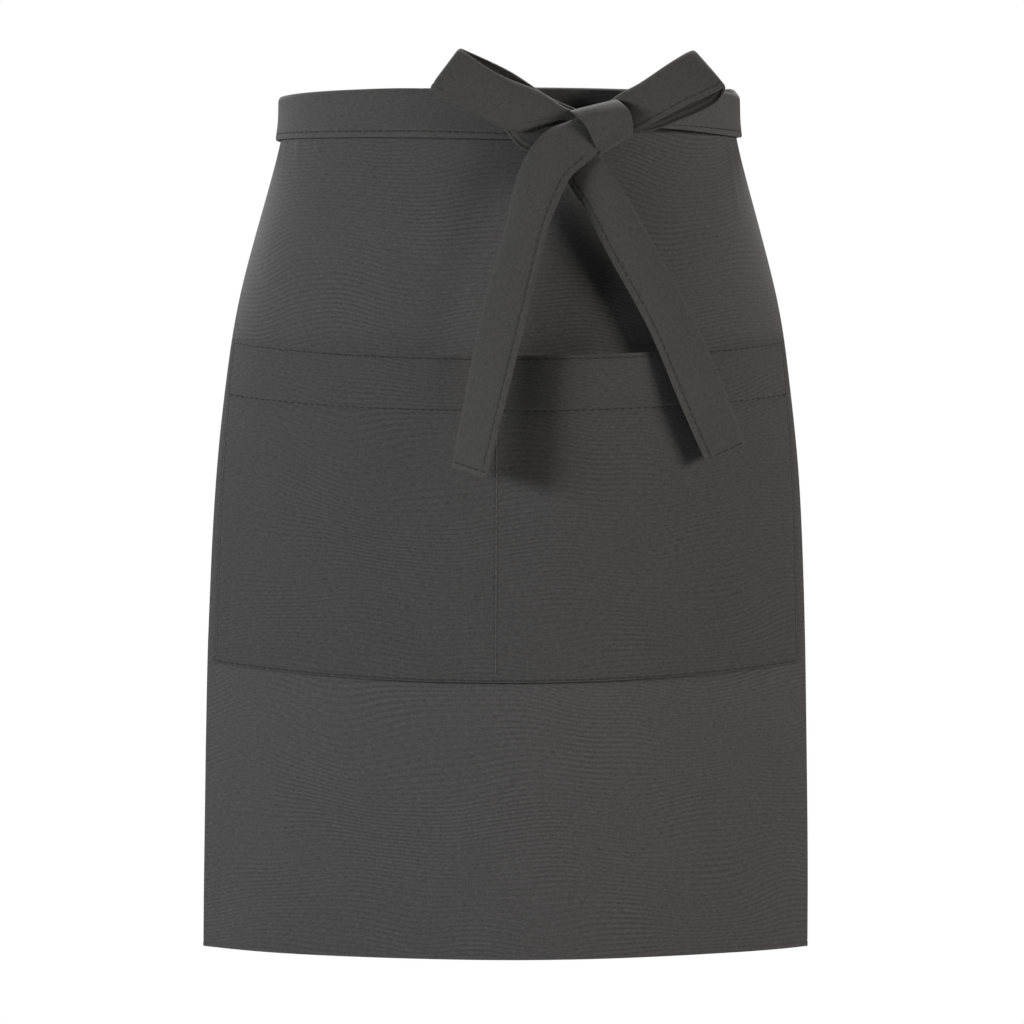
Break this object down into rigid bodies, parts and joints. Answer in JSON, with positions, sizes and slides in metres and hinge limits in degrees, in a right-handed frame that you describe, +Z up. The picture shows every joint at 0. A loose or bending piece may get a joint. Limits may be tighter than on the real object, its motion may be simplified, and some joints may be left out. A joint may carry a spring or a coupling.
{
  "type": "waist apron",
  "caption": "Half apron in worn shape: a cloth skirt with a wide divided patch pocket on a folded waistband, its ties crossed behind and tied in a front bow",
  "frame": {"origin": "middle of the waist, near half the height of the waistband", "axes": "+Z up, the front faces -Y, +X to the right of someone who looks at the front"},
  "size_m": [0.3503, 0.2522, 0.52],
  "materials": {
    "apron_cloth": "matt charcoal plain weave",
    "tie_cloth": "matt charcoal, pressed flat"
  },
  "bodies": {
    "root": {"skirt_panel": "apron_cloth", "pocket_panel": "apron_cloth", "waistband": "apron_cloth", "tie_left": "tie_cloth", "tie_right": "tie_cloth", "bow_knot": "tie_cloth", "bow_loop_left": "tie_cloth", "bow_loop_right": "tie_cloth", "tail_left": "tie_cloth", "tail_right": "tie_cloth"}
  },
  "joints": []
}
